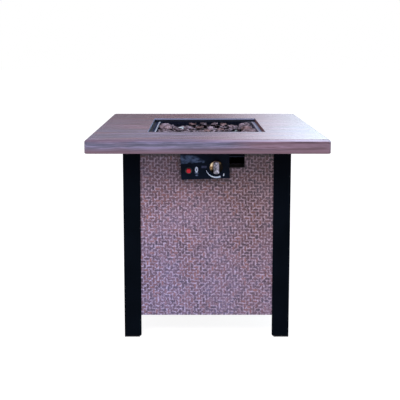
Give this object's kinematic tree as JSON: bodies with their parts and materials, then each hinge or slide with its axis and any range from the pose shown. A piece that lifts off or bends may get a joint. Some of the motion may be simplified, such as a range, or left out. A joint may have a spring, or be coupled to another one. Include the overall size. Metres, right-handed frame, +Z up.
{
  "type": "gas fire table",
  "caption": "Square free-standing gas fire table: cast mantel, burner pan with ring burner and lava rock, panelled base on angle legs, hinged door, turning knob and push igniter.",
  "frame": {"origin": "on the ground under the middle of the table", "axes": "+X to the right of someone facing the controls, +Y to the back, +Z up"},
  "size_m": [0.711, 0.711, 0.635],
  "materials": {
    "cast_mantel": "cast cement board, grained, stained and sealed satin",
    "black_powder_coat": "satin black powder coat",
    "embossed_sheet": "embossed herringbone tile pattern, antique bronze paint",
    "black_nylon": "moulded, fine texture",
    "stainless_steel": "brushed",
    "zinc_plated_steel": "zinc plated",
    "ferrite_magnet": "sintered, matt",
    "brass": "turned",
    "aluminium": "as cast and drawn",
    "electrode_ceramic": "glazed white alumina",
    "lava_rock": "rough porous volcanic rock",
    "knob_chrome": "bright plated",
    "knob_silver": "silver coated",
    "red_cap": "moulded, glossy",
    "battery_jacket": "plain jacket"
  },
  "bodies": {
    "table": {"air_mixer": "stainless_steel", "burner_locknut": "zinc_plated_steel", "burner_pan": "stainless_steel", "control_box": "black_powder_coat", "door_magnet": "ferrite_magnet", "foot_glides": "black_nylon", "frame_nuts": "zinc_plated_steel", "front_panel": "embossed_sheet", "gas_feed_tube": "aluminium", "gas_orifice": "brass", "gas_valve": "aluminium", "heat_shield": "zinc_plated_steel", "hinge_pin_low": "zinc_plated_steel", "hinge_pin_top": "zinc_plated_steel", "igniter_barrel": "black_nylon", "igniter_battery": "battery_jacket", "igniter_bezel": "black_nylon", "inlet_fitting": "brass", "lava_rocks": "lava_rock", "left_panel": "embossed_sheet", "leg_front_left": "black_powder_coat", "leg_front_right": "black_powder_coat", "leg_rear_left": "black_powder_coat", "leg_rear_right": "black_powder_coat", "low_rail_front": "black_powder_coat", "low_rail_left": "black_powder_coat", "low_rail_rear": "black_powder_coat", "low_rail_right": "black_powder_coat", "mantel_screws": "zinc_plated_steel", "mantel_top": "cast_mantel", "panel_screws": "zinc_plated_steel", "pilot_bracket": "stainless_steel", "right_panel": "embossed_sheet", "ring_burner": "stainless_steel", "shield_screws": "zinc_plated_steel", "spark_electrode": "electrode_ceramic", "thermocouple": "stainless_steel", "top_rail_front": "black_powder_coat", "top_rail_left": "black_powder_coat", "top_rail_rear": "black_powder_coat", "top_rail_right": "black_powder_coat"},
    "door": {"access_door": "embossed_sheet", "door_strike": "zinc_plated_steel", "door_pull": "black_powder_coat"},
    "stem_slider": {"stem_spring_cup": "zinc_plated_steel"},
    "control_knob": {"valve_stem": "brass", "knob_disc": "knob_chrome", "knob_grip": "knob_silver"},
    "igniter_cap": {"igniter_button": "red_cap"}
  },
  "joints": [
    {"name": "door_hinge", "type": "hinge", "parent": "table", "child": "door", "pos_m": [0.1905, 0.2455, 0.33], "axis": [0, 0, -1], "range_deg": [0, 105]},
    {"name": "knob_push", "type": "slide", "parent": "table", "child": "stem_slider", "axis": [0, 1, 0], "range_m": [0, 0.003], "stiffness_N_per_m": 1500},
    {"name": "knob_turn", "type": "hinge", "parent": "stem_slider", "child": "control_knob", "pos_m": [0.02755, -0.277, 0.53996], "axis": [0, -1, 0], "range_deg": [0, 210]},
    {"name": "igniter_press", "type": "slide", "parent": "table", "child": "igniter_cap", "axis": [0, 1, 0], "range_m": [0, 0.005], "stiffness_N_per_m": 800}
  ]
}
